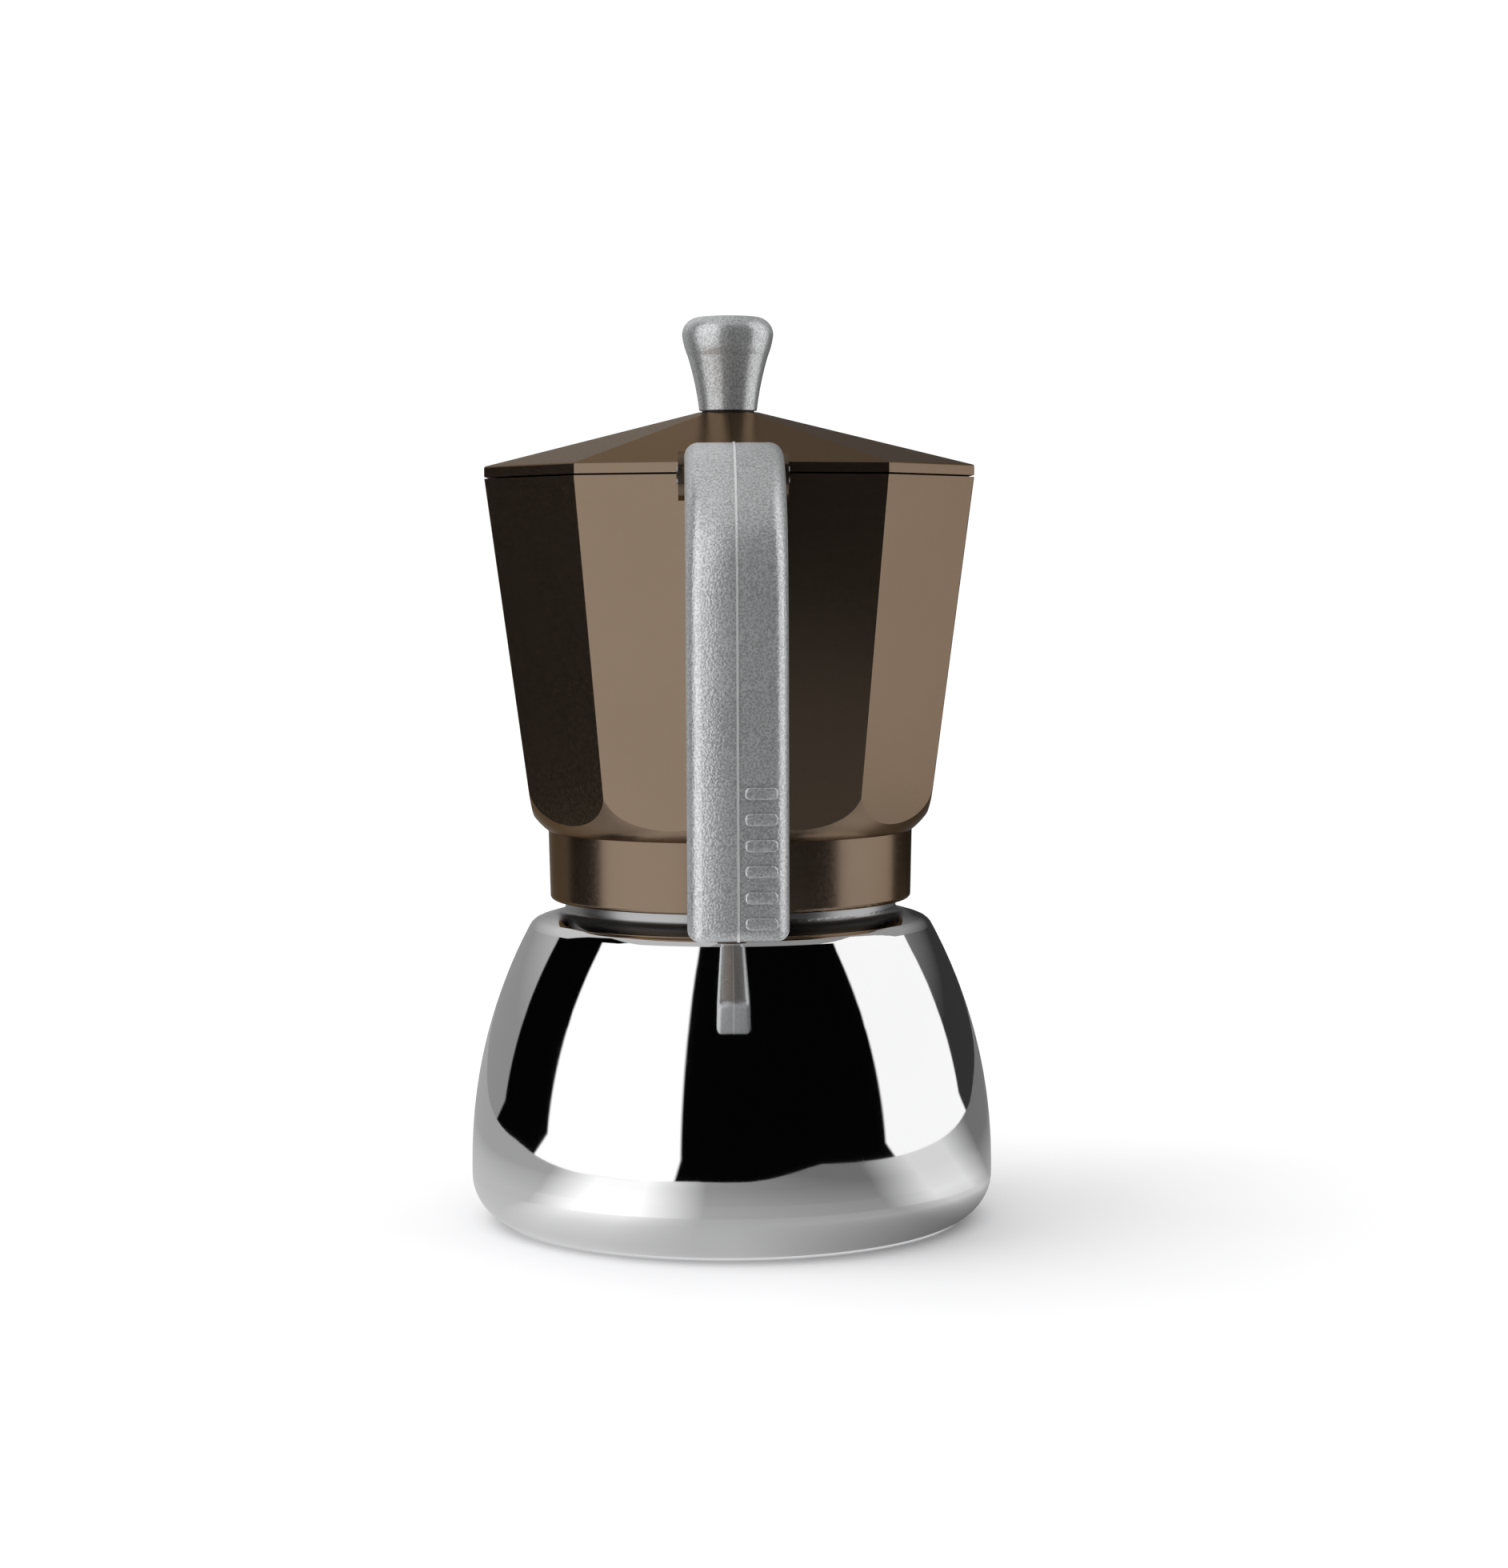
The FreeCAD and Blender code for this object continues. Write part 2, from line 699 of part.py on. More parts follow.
def make_lid():
    """Ten-sided lid with a raised centre, a beak over the spout and two hinge ears."""
    low = body_top_z + lid_gap
    rim_top = low + lid_rim_height
    rim = faceted((body_top_r, low), (body_top_r, rim_top), (lid_apex_r, lid_apex_z))
    rim = softened(rim, lid_edge_r, lambda edge: is_level_at(edge, rim_top))
    beak = make_beak(low, rim_top)
    hollow_r = body_top_r - lid_rim_width
    ceiling = (lid_hollow_apex_r, lid_apex_z - lid_thickness)
    hollow = faceted((hollow_r, low), (hollow_r, low + lid_hollow_step), ceiling)
    ears = []
    for side in (-1, 1):
        inner, outer = side * ear_inner_x, side * ear_outer_x
        width = vector(outer - inner, 0, 0)
        disc = Part.makeCylinder(ear_r, abs(outer - inner), vector(min(inner, outer), hinge_y, hinge_z), X_AXIS)
        arm = Part.Face(Part.makePolygon([
            vector(inner, hinge_y, low),
            vector(inner, ear_arm_y, low),
            vector(inner, ear_arm_y, rim_top + ear_arm_rise),
            vector(inner, ear_shoulder_y, hinge_z + ear_r),
            vector(inner, hinge_y, hinge_z + ear_r),
            vector(inner, hinge_y, low),
        ])).extrude(width)
        ears += [disc, arm]
    solid = rim.fuse([beak] + ears).cut(hollow)
    holes = [
        cross_rod(hinge_pin_r + hinge_clearance, ear_outer_x + 1, hinge_y, hinge_z),
        rod(screw_r, low, lid_apex_z + 1),
    ]
    return solid.cut(holes)


def is_level_at(edge, z):
    return all(abs(vertex.Z - z) < 1e-6 for vertex in edge.Vertexes)


def make_beak(low, high):
    """Pointed plate over the spout, with a low ridge that runs up onto the lid."""
    root_y = spout_root_y
    plan = Part.Face(Part.makePolygon([
        vector(-beak_half, root_y, low),
        vector(beak_half, root_y, low),
        vector(0, beak_tip_y, low),
        vector(-beak_half, root_y, low),
    ]))
    plate = plan.extrude(vector(0, 0, high - low))
    plate = softened(plate, beak_tip_r, is_tip)
    left = vector(-beak_half, root_y, high)
    right = vector(beak_half, root_y, high)
    tip = vector(0, beak_tip_y - beak_tip_r, high)
    lid_slope = (lid_apex_z - high) / (body_top_r - lid_apex_r)
    back = vector(0, beak_ridge_y, high + (body_top_r - beak_ridge_y) * lid_slope)
    faces = [(left, tip, right), (left, back, tip), (right, tip, back), (left, right, back)]
    shell = Part.Shell([Part.Face(Part.makePolygon(list(face) + [face[0]])) for face in faces])
    shell.sewShape()
    return plate.fuse(Part.Solid(shell))


def is_tip(edge):
    return all(abs(vertex.Y - beak_tip_y) < 1e-6 for vertex in edge.Vertexes)


def make_knob():
    """Flared knob, its washer, and the screw that holds it from under the lid."""
    washer_top = lid_apex_z + knob_washer_thickness
    washer = tube(screw_r, knob_washer_r, lid_apex_z, washer_top)
    knob = turned((0, screw_top_z), [
        (screw_r, screw_top_z),
        (screw_r, washer_top),
        (knob_foot_r, washer_top),
        knob_waist,
        knob_flare,
        bend(knob_flare[1], 90, 90, knob_edge_r),
        (0, knob_top_z),
    ])
    underside = lid_apex_z - lid_thickness
    head_low = underside - screw_head_height
    screw = turned((0, head_low), [
        (screw_head_r - screw_edge_r, head_low),
        bend((screw_head_r - screw_edge_r, head_low), 0, 90, screw_edge_r),
        (screw_head_r, underside),
        (screw_r, underside),
        (screw_r, screw_top_z),
        (0, screw_top_z),
    ])
    slot_y = (-screw_slot_half, screw_slot_half)
    slot = box((-screw_head_r, screw_head_r), slot_y, (head_low, head_low + screw_slot_depth))
    return {"knob_washer": washer, "lid_knob": knob, "knob_screw": screw.cut(slot)}


def write(name, shape):
    solid = shape.Solids[0] if len(shape.Solids) == 1 else shape
    print(name, solid.ShapeType, solid.isValid(), len(shape.Solids), round(solid.Volume, 1))
    solid.exportStep("parts/" + name + ".step")


def main():
    parts = {"boiler": make_boiler()}
    parts.update(make_valve())
    parts.update(make_funnel())
    parts.update(make_seal())
    parts["collector"] = make_collector()
    parts.update(make_chimney())
    parts["handle"] = make_handle()
    parts["handle_pin"] = cross_rod(handle_pin_r, handle_pin_half, handle_pin_y, handle_pin_z)
    parts["hinge_pin"] = cross_rod(hinge_pin_r, hinge_pin_half, hinge_y, hinge_z)
    parts["lid"] = make_lid()
    parts.update(make_knob())
    for name, shape in parts.items():
        write(name, shape)


main()
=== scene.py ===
import math

import bmesh
import bpy
from mathutils import Matrix, Vector


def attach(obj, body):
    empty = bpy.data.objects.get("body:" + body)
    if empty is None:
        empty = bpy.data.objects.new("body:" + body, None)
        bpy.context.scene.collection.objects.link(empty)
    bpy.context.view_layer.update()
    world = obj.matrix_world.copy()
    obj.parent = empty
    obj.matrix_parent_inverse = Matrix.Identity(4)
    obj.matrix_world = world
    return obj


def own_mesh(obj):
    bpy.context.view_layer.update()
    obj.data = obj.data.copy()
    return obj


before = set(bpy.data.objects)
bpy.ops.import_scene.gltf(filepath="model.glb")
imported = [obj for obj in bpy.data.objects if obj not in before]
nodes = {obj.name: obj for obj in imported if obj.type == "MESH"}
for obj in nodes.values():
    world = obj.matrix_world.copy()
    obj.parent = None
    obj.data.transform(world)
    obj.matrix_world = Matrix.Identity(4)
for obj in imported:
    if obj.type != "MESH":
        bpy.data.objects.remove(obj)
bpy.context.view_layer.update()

# ---------------------------------------------------------------- camera
CAMERA_PLACE = (-0.0105, -0.6604, 0.1325)
CAMERA_PITCH = math.radians(3.93)
CAMERA_YAW = math.radians(1.33)
CAMERA_ROLL = math.radians(0.27)
CAMERA_LENS = 75.58
CAMERA_SENSOR = 36.0

# ---------------------------------------------------------------- studio
STUDIO_RADIUS = 1.9
STUDIO_HEIGHT = 2.6
SECTOR_EDGE = 0.6
SECTOR_LOW_Z = 0.3
SECTOR_HIGH_Z = 1.1
DARK_GLOW = 0.0012
CEILING_DARK_GLOW = 0.3
CEILING_HOLE = 0.01
RING_STEPS = 90
# each sector: start and end turn in degrees from the handle's side towards -X, light low and high
SOFTBOXES = (
    (22.6, 87.8, 1.22, 1.22),
    (-120.5, -68.7, 1.12, 1.12),
    (121.0, 181.0, 0.30, 0.62),
    (-181.0, -120.5, 0.035, 0.33),
)
TABLE_GLARE = (
    (21.0, 63.0, 0.80, 0.80),
    (-106.0, -62.0, 0.60, 0.60),
)
CEILING_SECTORS = ((20.0, 181.0, 0.55, 0.55),)
TABLE_OUTLINE = [
    (-0.30, 0.05),
    (-0.075, -0.205),
    (0.03, -0.212),
    (0.275, -0.40),
    (0.30, -0.12),
    (0.42, 0.5),
    (-0.30, 0.5),
]
TABLE_RADII = (0.0425, 0.055, 0.075, 0.12)
TABLE_SPOKES = 60
TABLE_SOFT_EDGE = 11.0
TINY = 1e-9
EDGE_SLACK = 1e-6
FLOOR_HALF_WIDTH = 6.0
FLOOR_NEAR_Y = -4.0
FLOOR_FAR_Y = 14.0
WORLD_STRENGTH = 1.06
KEY_STRENGTH = 1.0
KEY_SPREAD = 50.0
KEY_DIRECTION = (0.75, 0.1, -1.0)
TABLE_LIFT = 0.0004
FAR_FLOOR_LIFT = 0.0002
FAR_FLOOR_START = 0.2
TABLE_NEAR_LIGHT = 0.62
TABLE_FAR_LIGHT = 0.36


# ---------------------------------------------------------------- node helpers
class Shader:
    """A material's node tree with its Principled shader."""

    def __init__(self, name, **sockets):
        self.material = bpy.data.materials.new(name)
        self.material.use_nodes = True
        self.tree = self.material.node_tree
        self.bsdf = self.tree.nodes["Principled BSDF"]
        for socket, value in sockets.items():
            self.bsdf.inputs[socket.replace("_", " ")].default_value = value
        self.place = self.node("ShaderNodeTexCoord").outputs["Object"]

    def node(self, kind, **settings):
        made = self.tree.nodes.new(kind)
        for key, value in settings.items():
            setattr(made, key, value)
        return made

    def link(self, source, target):
        self.tree.links.new(source, target)
        return target

    def scaled(self, scale):
        """The object's coordinates stretched by a factor along each axis."""
        mapping = self.node("ShaderNodeMapping")
        mapping.inputs["Scale"].default_value = scale
        self.link(self.place, mapping.inputs["Vector"])
        return mapping.outputs["Vector"]

    def across_up(self):
        """The object's X and Z coordinates."""
        parts = self.node("ShaderNodeSeparateXYZ")
        self.link(self.place, parts.inputs["Vector"])
        return parts.outputs["X"], parts.outputs["Z"]

    def length(self, vector):
        made = self.node("ShaderNodeVectorMath", operation="LENGTH")
        self.link(vector, made.inputs[0])
        return made.outputs["Value"]

    def noise(self, scale, detail=2.0, roughness=0.5, vector=None):
        made = self.node("ShaderNodeTexNoise")
        made.inputs["Scale"].default_value = scale
        made.inputs["Detail"].default_value = detail
        made.inputs["Roughness"].default_value = roughness
        self.link(vector or self.place, made.inputs["Vector"])
        return made.outputs["Fac"]

    def span(self, source, low, high, to_low=0.0, to_high=1.0):
        made = self.node("ShaderNodeMapRange")
        made.inputs["From Min"].default_value = low
        made.inputs["From Max"].default_value = high
        made.inputs["To Min"].default_value = to_low
        made.inputs["To Max"].default_value = to_high
        self.link(source, made.inputs["Value"])
        return made.outputs["Result"]

    def math(self, operation, first, second):
        made = self.node("ShaderNodeMath", operation=operation)
        for socket, value in zip(made.inputs, (first, second)):
            if isinstance(value, (int, float)):
                socket.default_value = value
            else:
                self.link(value, socket)
        return made.outputs["Value"]

    def mix(self, share, first, second):
        """Colour between two colours by a share."""
        made = self.node("ShaderNodeMix", data_type="RGBA")
        self.link(share, made.inputs["Factor"])
        first_colour, second_colour = made.inputs[6], made.inputs[7]
        for socket, value in ((first_colour, first), (second_colour, second)):
            if isinstance(value, tuple):
                socket.default_value = (*value, 1.0)
            else:
                self.link(value, socket)
        return made.outputs[2]

    def bump(self, height, strength, distance, normal=None):
        made = self.node("ShaderNodeBump")
        made.inputs["Strength"].default_value = strength
        made.inputs["Distance"].default_value = distance
        self.link(height, made.inputs["Height"])
        if normal is not None:
            self.link(normal, made.inputs["Normal"])
        return made.outputs["Normal"]

    def set(self, socket, source):
        self.link(source, self.bsdf.inputs[socket])


# ---------------------------------------------------------------- materials
# how strongly the handle's faces are crowned, per metre across
CROWN = 22.0
PARTING_HALF = 0.00012
PARTING_EDGE = 0.0003

# the boiler is polished outside POLISHED_RADIUS; inside TURNED_SHADED_RADIUS, above its body, it has a
# duller lathe finish and a darker colour that is painted shade under the collector
TURNED_SHADED_RADIUS = 0.0345
POLISHED_RADIUS = 0.0375
TURNED_SHADED_LOW_Z = 0.055
TURNED_SHADED_HIGH_Z = 0.058
TURNED_ROUGHNESS = 0.28


def polished_steel():
    """Mirror-polished stainless steel with faint wiping marks; the neck and its inside get a duller lathe
    finish and a darker colour, which is painted shade under the collector.
    """
    shader = Shader("polished_steel", Metallic=1.0)
    smudges = shader.noise(38.0, 4.0, 0.6)
    up = shader.across_up()[1]
    from_axis = shader.length(shader.scaled((1.0, 1.0, 0.0)))
    near_axis = shader.span(from_axis, TURNED_SHADED_RADIUS, POLISHED_RADIUS, 1.0, 0.0)
    turned_and_shaded = shader.math("MULTIPLY", near_axis, shader.span(up, TURNED_SHADED_LOW_Z, TURNED_SHADED_HIGH_Z))
    hairlines = shader.noise(700.0, 3.0, 0.6, shader.scaled((1.0, 1.0, 0.05)))
    polished = shader.mix(smudges, (0.80, 0.80, 0.81), (0.85, 0.85, 0.85))
    # painted shade: the neck's base colour is darkened for the shade under the collector's skirt; its
    # extra roughness is the lathe finish
    shader.set("Base Color", shader.mix(turned_and_shaded, polished, (0.42, 0.42, 0.425)))
    wiped = shader.span(smudges, 0.3, 0.75, 0.022, 0.05)
    scratched = shader.span(hairlines, 0.62, 0.8, 0.0, 0.05)
    mirror = shader.math("ADD", wiped, scratched)
    shader.set("Roughness", shader.math("ADD", mirror, shader.math("MULTIPLY", turned_and_shaded, TURNED_ROUGHNESS)))
    shader.set("Normal", shader.bump(shader.noise(14.0, 1.0), 0.02, 0.001))
    return shader.material


def brown_paint():
    """Glossy metallic brown lacquer: a tinted, slightly soft reflection with a fine flake grain."""
    shader = Shader("brown_paint", Metallic=0.965, Coat_Weight=0.05, Coat_Roughness=0.15, Coat_IOR=1.35)
    shader.bsdf.inputs["Specular Tint"].default_value = (0.50, 0.40, 0.31, 1.0)
    grain = shader.noise(1500.0, 2.0, 0.7)
    cloud = shader.noise(30.0, 3.0, 0.6)
    tone = shader.mix(cloud, (0.205, 0.150, 0.108), (0.225, 0.166, 0.120))
    bright = shader.span(grain, 0.62, 0.85, 0.0, 0.35)
    shader.set("Base Color", shader.mix(bright, tone, (0.42, 0.33, 0.25)))
    shader.set("Roughness", shader.span(grain, 0.25, 0.75, 0.17, 0.27))
    peel = shader.bump(shader.noise(260.0, 2.0), 0.02, 0.0002)
    shader.set("Normal", shader.bump(grain, 0.04, 0.00005, peel))
    return shader.material


def silver_plastic(name, metallic, grain_depth, on_handle):
    """Silver metallic moulded plastic with a fine wrinkled grain.

    On the handle the parting line has a painted highlight, a lighter colour standing in for the light its
    raised seam catches, and the faces are slightly crowned.
    """
    shader = Shader(name, Metallic=metallic, Coat_Weight=0.1, Coat_Roughness=0.2)
    grain = shader.noise(2600.0, 1.0, 0.5)
    swirl = shader.noise(60.0, 3.0)
    tone = shader.mix(shader.span(grain, 0.35, 0.65), (0.40, 0.41, 0.415), (0.68, 0.69, 0.695))
    cloud = shader.span(swirl, 0.3, 0.7, 0.0, 0.1)
    colour = shader.mix(cloud, tone, (0.75, 0.75, 0.75))
    crown = None
    if on_handle:
        across = shader.across_up()[0]
        off_centre = shader.math("ABSOLUTE", across, 0.0)
        # painted highlight: a lighter stripe down the parting line stands in for the light a raised seam
        # catches
        painted_seam_highlight = shader.span(off_centre, PARTING_HALF, PARTING_EDGE, 1.0, 0.0)
        colour = shader.mix(painted_seam_highlight, colour, (0.95, 0.95, 0.95))
        squared = shader.math("MULTIPLY", across, across)
        crown = shader.bump(shader.math("MULTIPLY", squared, -CROWN), 1.0, 1.0)
    shader.set("Base Color", colour)
    shader.set("Roughness", shader.span(swirl, 0.3, 0.7, 0.28, 0.33))
    shader.set("Normal", shader.bump(grain, grain_depth, 0.0001, crown))
    return shader.material


def turned_metal(name, dark, light, roughness, axis_scale=(1.0, 1.0, 60.0)):
    """Metal with fine lathe or rolling marks, packed closely along the axis that axis_scale stretches."""
    shader = Shader(name, Metallic=1.0, Roughness=roughness)
    marks = shader.noise(90.0, 3.0, 0.6, shader.scaled(axis_scale))
    stains = shader.noise(55.0, 3.0)
    shader.set("Base Color", shader.mix(stains, dark, light))
    shader.set("Roughness", shader.span(marks, 0.3, 0.7, roughness - 0.06, roughness + 0.08))
    shader.set("Normal", shader.bump(marks, 0.12, 0.0001))
    return shader.material


def soft_rubber(name, dark, light, roughness):
    """Matte moulded rubber or fibre with a fine grain."""
    shader = Shader(name, Roughness=roughness, Specular_IOR_Level=0.35)
    shader.set("Base Color", shader.mix(shader.noise(120.0, 3.0), dark, light))
    shader.set("Normal", shader.bump(shader.noise(1500.0, 2.0), 0.2, 0.0001))
    return shader.material


def paint(material, *names):
    """Give CAD nodes one material each."""
    for name in names:
        slots = nodes[name].data.materials
        slots.clear()
        slots.append(material)


STEEL = polished_steel()
BROWN = brown_paint()
HANDLE_SILVER = silver_plastic("handle_plastic", 0.70, 0.62, on_handle=True)
KNOB_SILVER = silver_plastic("knob_plastic", 0.72, 0.3, on_handle=False)
ALUMINIUM = turned_metal("bare_aluminium", (0.66, 0.67, 0.68), (0.76, 0.76, 0.77), 0.30)
SHEET_STEEL = turned_metal("sieve_steel", (0.58, 0.58, 0.58), (0.68, 0.68, 0.68), 0.22, (1.0, 1.0, 1.0))
PIN_STEEL = turned_metal("pin_steel", (0.56, 0.56, 0.57), (0.66, 0.66, 0.67), 0.24, (60.0, 1.0, 1.0))
VALVE_STEEL = turned_metal("valve_steel", (0.58, 0.58, 0.58), (0.68, 0.68, 0.68), 0.2, (1.0, 60.0, 1.0))
SPRING_STEEL = turned_metal("spring_steel", (0.5, 0.5, 0.51), (0.6, 0.6, 0.61), 0.3, (1.0, 1.0, 1.0))
BRASS = turned_metal("brass", (0.62, 0.43, 0.17), (0.74, 0.55, 0.26), 0.24, (1.0, 60.0, 1.0))
SILICONE = soft_rubber("silicone", (0.72, 0.71, 0.66), (0.80, 0.79, 0.74), 0.55)
FIBRE = soft_rubber("valve_fibre", (0.30, 0.05, 0.03), (0.38, 0.08, 0.05), 0.6)
BLACK_RUBBER = soft_rubber("black_rubber", (0.015, 0.015, 0.015), (0.03, 0.03, 0.03), 0.5)

paint(STEEL, "boiler")
paint(BROWN, "collector", "lid")
paint(HANDLE_SILVER, "handle")
paint(KNOB_SILVER, "lid_knob")
paint(ALUMINIUM, "funnel_basket", "funnel_stem", "chimney", "chimney_cap")
paint(SHEET_STEEL, "funnel_sieve", "filter_plate")
paint(PIN_STEEL, "handle_pin", "hinge_pin", "knob_screw")
paint(VALVE_STEEL, "valve_pin")
paint(SPRING_STEEL, "valve_spring")
paint(BRASS, "valve_body", "valve_nut", "valve_cap")
paint(SILICONE, "seal_ring")
paint(FIBRE, "valve_washer")
paint(BLACK_RUBBER, "knob_washer")


def new_mesh_piece(name, shape, material):
    """Object from a finished bmesh, with one material."""
    mesh = bpy.data.meshes.new(name)
    shape.to_mesh(mesh)
    shape.free()
    mesh.materials.append(material)
    piece = bpy.data.objects.new(name, mesh)
    bpy.context.scene.collection.objects.link(piece)
    return piece


def shorten_valve_spring():
    """Give the valve spring its own copy of its mesh; nothing here shortens it."""
    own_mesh(nodes["valve_spring"])


# ---------------------------------------------------------------- grip bars
BAR_COUNT = 6
BAR_FIRST_Z = 0.0685
BAR_PITCH = 0.0046
BAR_LEFT = 0.0012
BAR_RIGHT = 0.0070
BAR_HEIGHT = 0.0022
BAR_CORNER = 0.0009
BAR_PROUD = 0.00045
BAR_SUNK = 0.0006
BAR_SOFT = BAR_PROUD * 0.6
FACE_FOOT_Y = -0.0875
FACE_FOOT_Z = 0.0651
FACE_LEAN = math.radians(2.5)


def rounded_outline(half_width, half_height, corner, steps=5):
    """Points of a rounded rectangle round the origin, anticlockwise."""
    points = []
    for quarter, (sx, sz) in enumerate(((1, 1), (-1, 1), (-1, -1), (1, -1))):
        cx, cz = sx * (half_width - corner), sz * (half_height - corner)
        for step in range(steps + 1):
            angle = math.pi / 2 * (quarter + step / steps)
            points.append((cx + corner * math.cos(angle), cz + corner * math.sin(angle)))
    return points


def add_grip_bar(shape, centre_x, up):
    """One softly rounded bar standing proud of the handle's leaning outer face."""
    half_width, half_height = (BAR_RIGHT - BAR_LEFT) / 2, BAR_HEIGHT / 2
    inset_and_proud = (
        (0.0, -BAR_SUNK),
        (0.0, BAR_PROUD - BAR_SOFT),
        (BAR_SOFT * 0.35, BAR_PROUD - BAR_SOFT * 0.3),
        (BAR_SOFT, BAR_PROUD),
    )
    rings = []
    for inset, proud in inset_and_proud:
        outline = rounded_outline(half_width - inset, half_height - inset, BAR_CORNER - inset)
        ring = []
        for x, along in outline:
            rise = (up + along) * math.cos(FACE_LEAN) + proud * math.sin(FACE_LEAN)
            reach = -(up + along) * math.sin(FACE_LEAN) - proud * math.cos(FACE_LEAN)
            ring.append(shape.verts.new((centre_x + x, FACE_FOOT_Y + reach, FACE_FOOT_Z + rise)))
        rings.append(ring)
    for low, high in zip(rings, rings[1:]):
        for index in range(len(low)):
            after = (index + 1) % len(low)
            shape.faces.new((low[after], low[index], high[index], high[after])).smooth = True
    shape.faces.new(list(reversed(rings[-1]))).smooth = True


def grip_bars():
    """A ladder of plain raised bars on the lower right of the handle's outer face."""
    shape = bmesh.new()
    for index in range(BAR_COUNT):
        up = (BAR_FIRST_Z - FACE_FOOT_Z) + BAR_PITCH * index
        add_grip_bar(shape, (BAR_LEFT + BAR_RIGHT) / 2, up)
    bmesh.ops.recalc_face_normals(shape, faces=shape.faces)
    bars = new_mesh_piece("handle_grip_bars", shape, HANDLE_SILVER)
    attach(bars, "collector")


# ---------------------------------------------------------------- studio
def only_in_reflections(thing):
    """Reflections see the card, and nothing else does."""
    thing.visible_camera = False
    thing.visible_diffuse = False
    thing.visible_shadow = False
    thing.visible_transmission = False
    thing.visible_volume_scatter = False


def stage_position(shader):
    """X and height on the stage, and the turn in degrees from the handle's side towards -X."""
    parts = shader.node("ShaderNodeSeparateXYZ")
    shader.link(shader.place, parts.inputs["Vector"])
    left = shader.math("MULTIPLY", parts.outputs["X"], -1.0)
    toward = shader.math("MULTIPLY", parts.outputs["Y"], -1.0)
    turn = shader.math("MULTIPLY", shader.math("ARCTAN2", left, toward), 180.0 / math.pi)
    return parts.outputs["X"], parts.outputs["Z"], turn


def sector_light(shader, turn, height, dark, sectors, soft=SECTOR_EDGE):
    """Light that steps from dark to each (start, end, low light, high light) sector round the pot."""
    amount = None
    for start, end, low_light, high_light in sectors:
        rising = shader.span(turn, start - soft, start + soft)
        falling = shader.span(turn, end - soft, end + soft, 1.0, 0.0)
        light = shader.span(height, SECTOR_LOW_Z, SECTOR_HIGH_Z, low_light, high_light)
        band = shader.math("MULTIPLY", shader.math("MULTIPLY", rising, falling), light)
        amount = band if amount is None else shader.math("MAXIMUM", amount, band)
    return shader.math("MAXIMUM", amount, dark)


def glowing(shader, strength):
    """Turn the shader into a plain glow of the given strength."""
    shader.tree.nodes.remove(shader.bsdf)
    glow = shader.node("ShaderNodeEmission")
    shader.link(strength, glow.inputs["Strength"])
    shader.link(glow.outputs["Emission"], shader.tree.nodes["Material Output"].inputs["Surface"])
    return shader.material


def studio_glow(name, dark, sectors):
    """Glow in sectors round the pot."""
    shader = Shader(name)
    height, turn = stage_position(shader)[1:]
    return glowing(shader, sector_light(shader, turn, height, dark, sectors))


def ring_card(name, profile, material):
    """Card swept round the pot from (radius, height) points, which only reflections see."""
    shape = bmesh.new()
    columns = []
    for index in range(RING_STEPS + 1):
        angle = math.radians(-180.0 + 360.0 * index / RING_STEPS)
        x, y = -math.sin(angle), -math.cos(angle)
        columns.append([shape.verts.new((x * radius, y * radius, z)) for radius, z in profile])
    for near, far in zip(columns, columns[1:]):
        for low in range(len(profile) - 1):
            shape.faces.new((near[low], far[low], far[low + 1], near[low + 1]))
    card = new_mesh_piece(name, shape, material)
    only_in_reflections(card)


def table_glow():
    """The table's light: it falls off outwards, is weaker on the right and catches the softboxes."""
    shader = Shader("table_glow")
    across, height, turn = stage_position(shader)
    reach = shader.length(shader.place)
    near = shader.span(reach, 0.048, 0.16, TABLE_NEAR_LIGHT, TABLE_FAR_LIGHT)
    plain = shader.math("MULTIPLY", near, shader.span(across, -0.10, 0.12, 1.10, 0.50))
    glare = sector_light(shader, turn, height, 0.0, TABLE_GLARE, TABLE_SOFT_EDGE)
    fade = shader.span(reach, 0.050, 0.095, 0.1, 1.0)
    lit = shader.math("ADD", plain, shader.math("MULTIPLY", glare, fade))
    # painted shadow: the glow is darkened close to the pot on its right for the pot's contact shadow
    close = shader.span(reach, 0.047, 0.066, 0.75, 0.0)
    shade = shader.math("MULTIPLY", close, shader.span(across, 0.0, 0.045))
    return glowing(shader, shader.math("MULTIPLY", lit, shader.math("SUBTRACT", 1.0, shade)))


def table_card():
    """The lit table round the pot, which only reflections see."""
    sides = list(zip(TABLE_OUTLINE[-1:] + TABLE_OUTLINE[:-1], TABLE_OUTLINE))
    shape = bmesh.new()
    spokes = []
    for index in range(TABLE_SPOKES):
        angle = 2 * math.pi * index / TABLE_SPOKES
        x, y = math.cos(angle), math.sin(angle)
        edge = min(edge_distance((x, y), start, end) for start, end in sides)
        radii = (*TABLE_RADII, edge)
        spokes.append([shape.verts.new((x * radius, y * radius, TABLE_LIFT)) for radius in radii])
    for spoke, following in zip(spokes, spokes[1:] + spokes[:1]):
        for step in range(len(spoke) - 1):
            shape.faces.new((spoke[step], spoke[step + 1], following[step + 1], following[step]))
    card = new_mesh_piece("table_reflection", shape, table_glow())
    only_in_reflections(card)


def edge_distance(direction, start, end):
    """Distance along a direction from the origin to a straight edge, or far if it misses."""
    ex, ey = end[0] - start[0], end[1] - start[1]
    cross = direction[0] * ey - direction[1] * ex
    if abs(cross) < TINY:
        return STUDIO_RADIUS
    along = (start[0] * ey - start[1] * ex) / cross
    share = (start[0] * direction[1] - start[1] * direction[0]) / cross
    meets = along > 0 and -EDGE_SLACK <= share <= 1 + EDGE_SLACK
    return along if meets else STUDIO_RADIUS


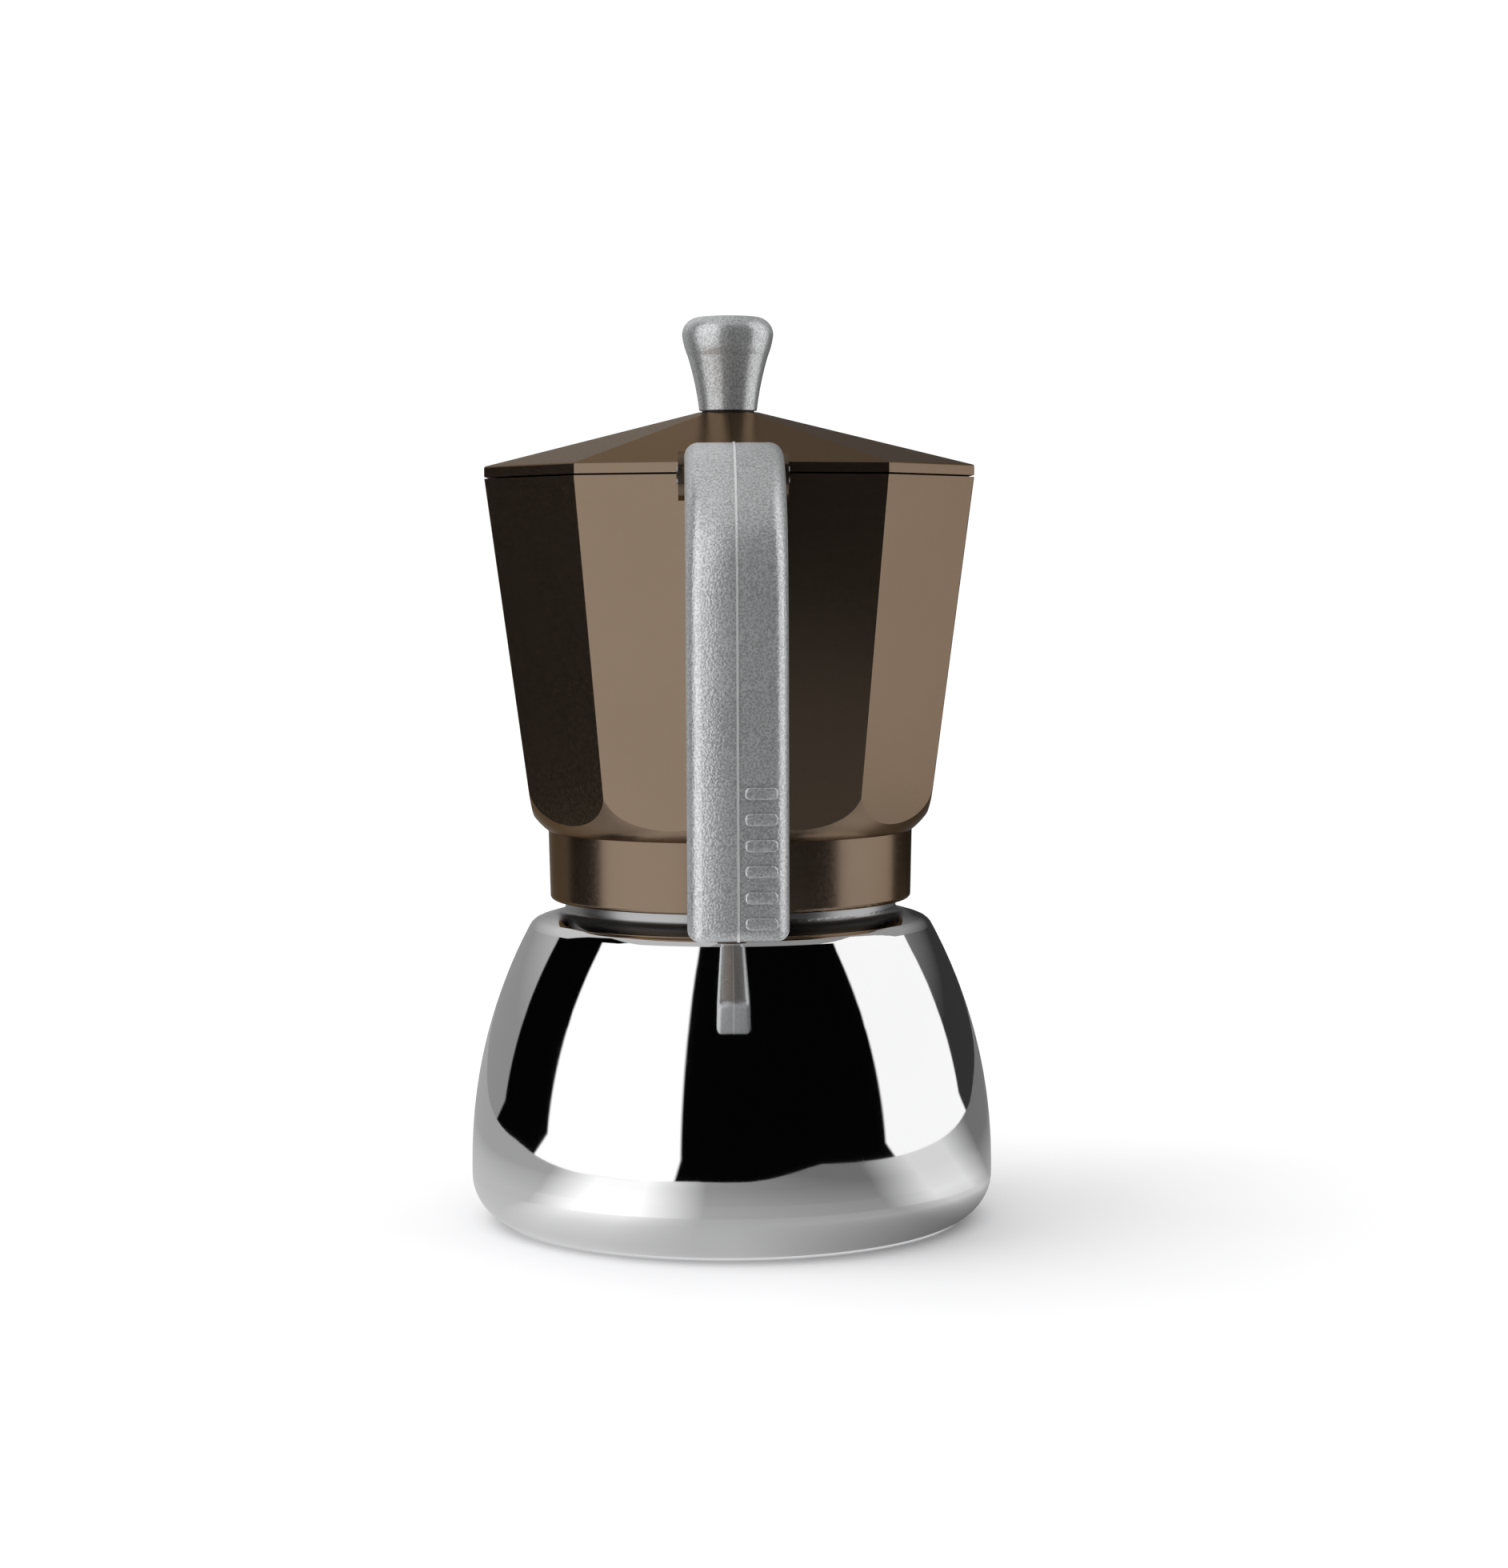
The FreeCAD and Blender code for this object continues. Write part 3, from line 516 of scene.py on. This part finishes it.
def studio_floor():
    """Pale floor that runs far behind the pot."""
    shape = bmesh.new()
    outline = (
        (-FLOOR_HALF_WIDTH, FLOOR_NEAR_Y),
        (FLOOR_HALF_WIDTH, FLOOR_NEAR_Y),
        (FLOOR_HALF_WIDTH, FLOOR_FAR_Y),
        (-FLOOR_HALF_WIDTH, FLOOR_FAR_Y),
    )
    shape.faces.new([shape.verts.new((x, y, 0.0)) for x, y in outline])
    shader = Shader("pale_floor", Roughness=0.6, Specular_IOR_Level=0.1)
    shader.set("Base Color", shader.mix(shader.noise(3.0, 3.0), (0.90, 0.90, 0.91), (0.91, 0.91, 0.92)))
    floor = new_mesh_piece("floor", shape, shader.material)
    floor.visible_glossy = False


def key_light():
    """Wide soft light from the upper left that leaves a faint shadow at the pot's lower right."""
    data = bpy.data.lights.new("key", "SUN")
    data.energy = KEY_STRENGTH
    data.angle = math.radians(KEY_SPREAD)
    light = bpy.data.objects.new("key", data)
    light.rotation_euler = Vector(KEY_DIRECTION).to_track_quat("-Z", "Y").to_euler()
    light.visible_glossy = False
    bpy.context.scene.collection.objects.link(light)


def world_light():
    """Even white light from all round."""
    world = bpy.data.worlds.new("studio")
    bpy.context.scene.world = world
    world.use_nodes = True
    background = world.node_tree.nodes["Background"]
    background.inputs["Color"].default_value = (1.0, 1.0, 1.0, 1.0)
    background.inputs["Strength"].default_value = WORLD_STRENGTH


def studio():
    """Floor, light, and the cards that the polished metal reflects."""
    studio_floor()
    world_light()
    key_light()
    wall = studio_glow("wall_glow", DARK_GLOW, SOFTBOXES)
    ring_card("surround", ((STUDIO_RADIUS, 0.0), (STUDIO_RADIUS, STUDIO_HEIGHT)), wall)
    ring_card("far_floor", ((FAR_FLOOR_START, FAR_FLOOR_LIFT), (STUDIO_RADIUS, FAR_FLOOR_LIFT)), wall)
    table_card()
    ceiling = studio_glow("ceiling_glow", CEILING_DARK_GLOW, CEILING_SECTORS)
    ring_card("ceiling", ((STUDIO_RADIUS, STUDIO_HEIGHT), (CEILING_HOLE, STUDIO_HEIGHT)), ceiling)


def place_camera():
    """Camera at the photograph's viewing angle."""
    data = bpy.data.cameras.new("camera")
    data.lens = CAMERA_LENS
    data.sensor_width = CAMERA_SENSOR
    camera = bpy.data.objects.new("camera", data)
    turn = Matrix.Rotation(-CAMERA_YAW, 4, "Z")
    tilt = Matrix.Rotation(math.pi / 2 - CAMERA_PITCH, 4, "X")
    roll = Matrix.Rotation(-CAMERA_ROLL, 4, "Z")
    camera.matrix_world = Matrix.Translation(CAMERA_PLACE) @ turn @ tilt @ roll
    bpy.context.scene.collection.objects.link(camera)
    bpy.context.scene.camera = camera


shorten_valve_spring()
grip_bars()
studio()
place_camera()
bpy.context.scene.view_settings.view_transform = "Standard"
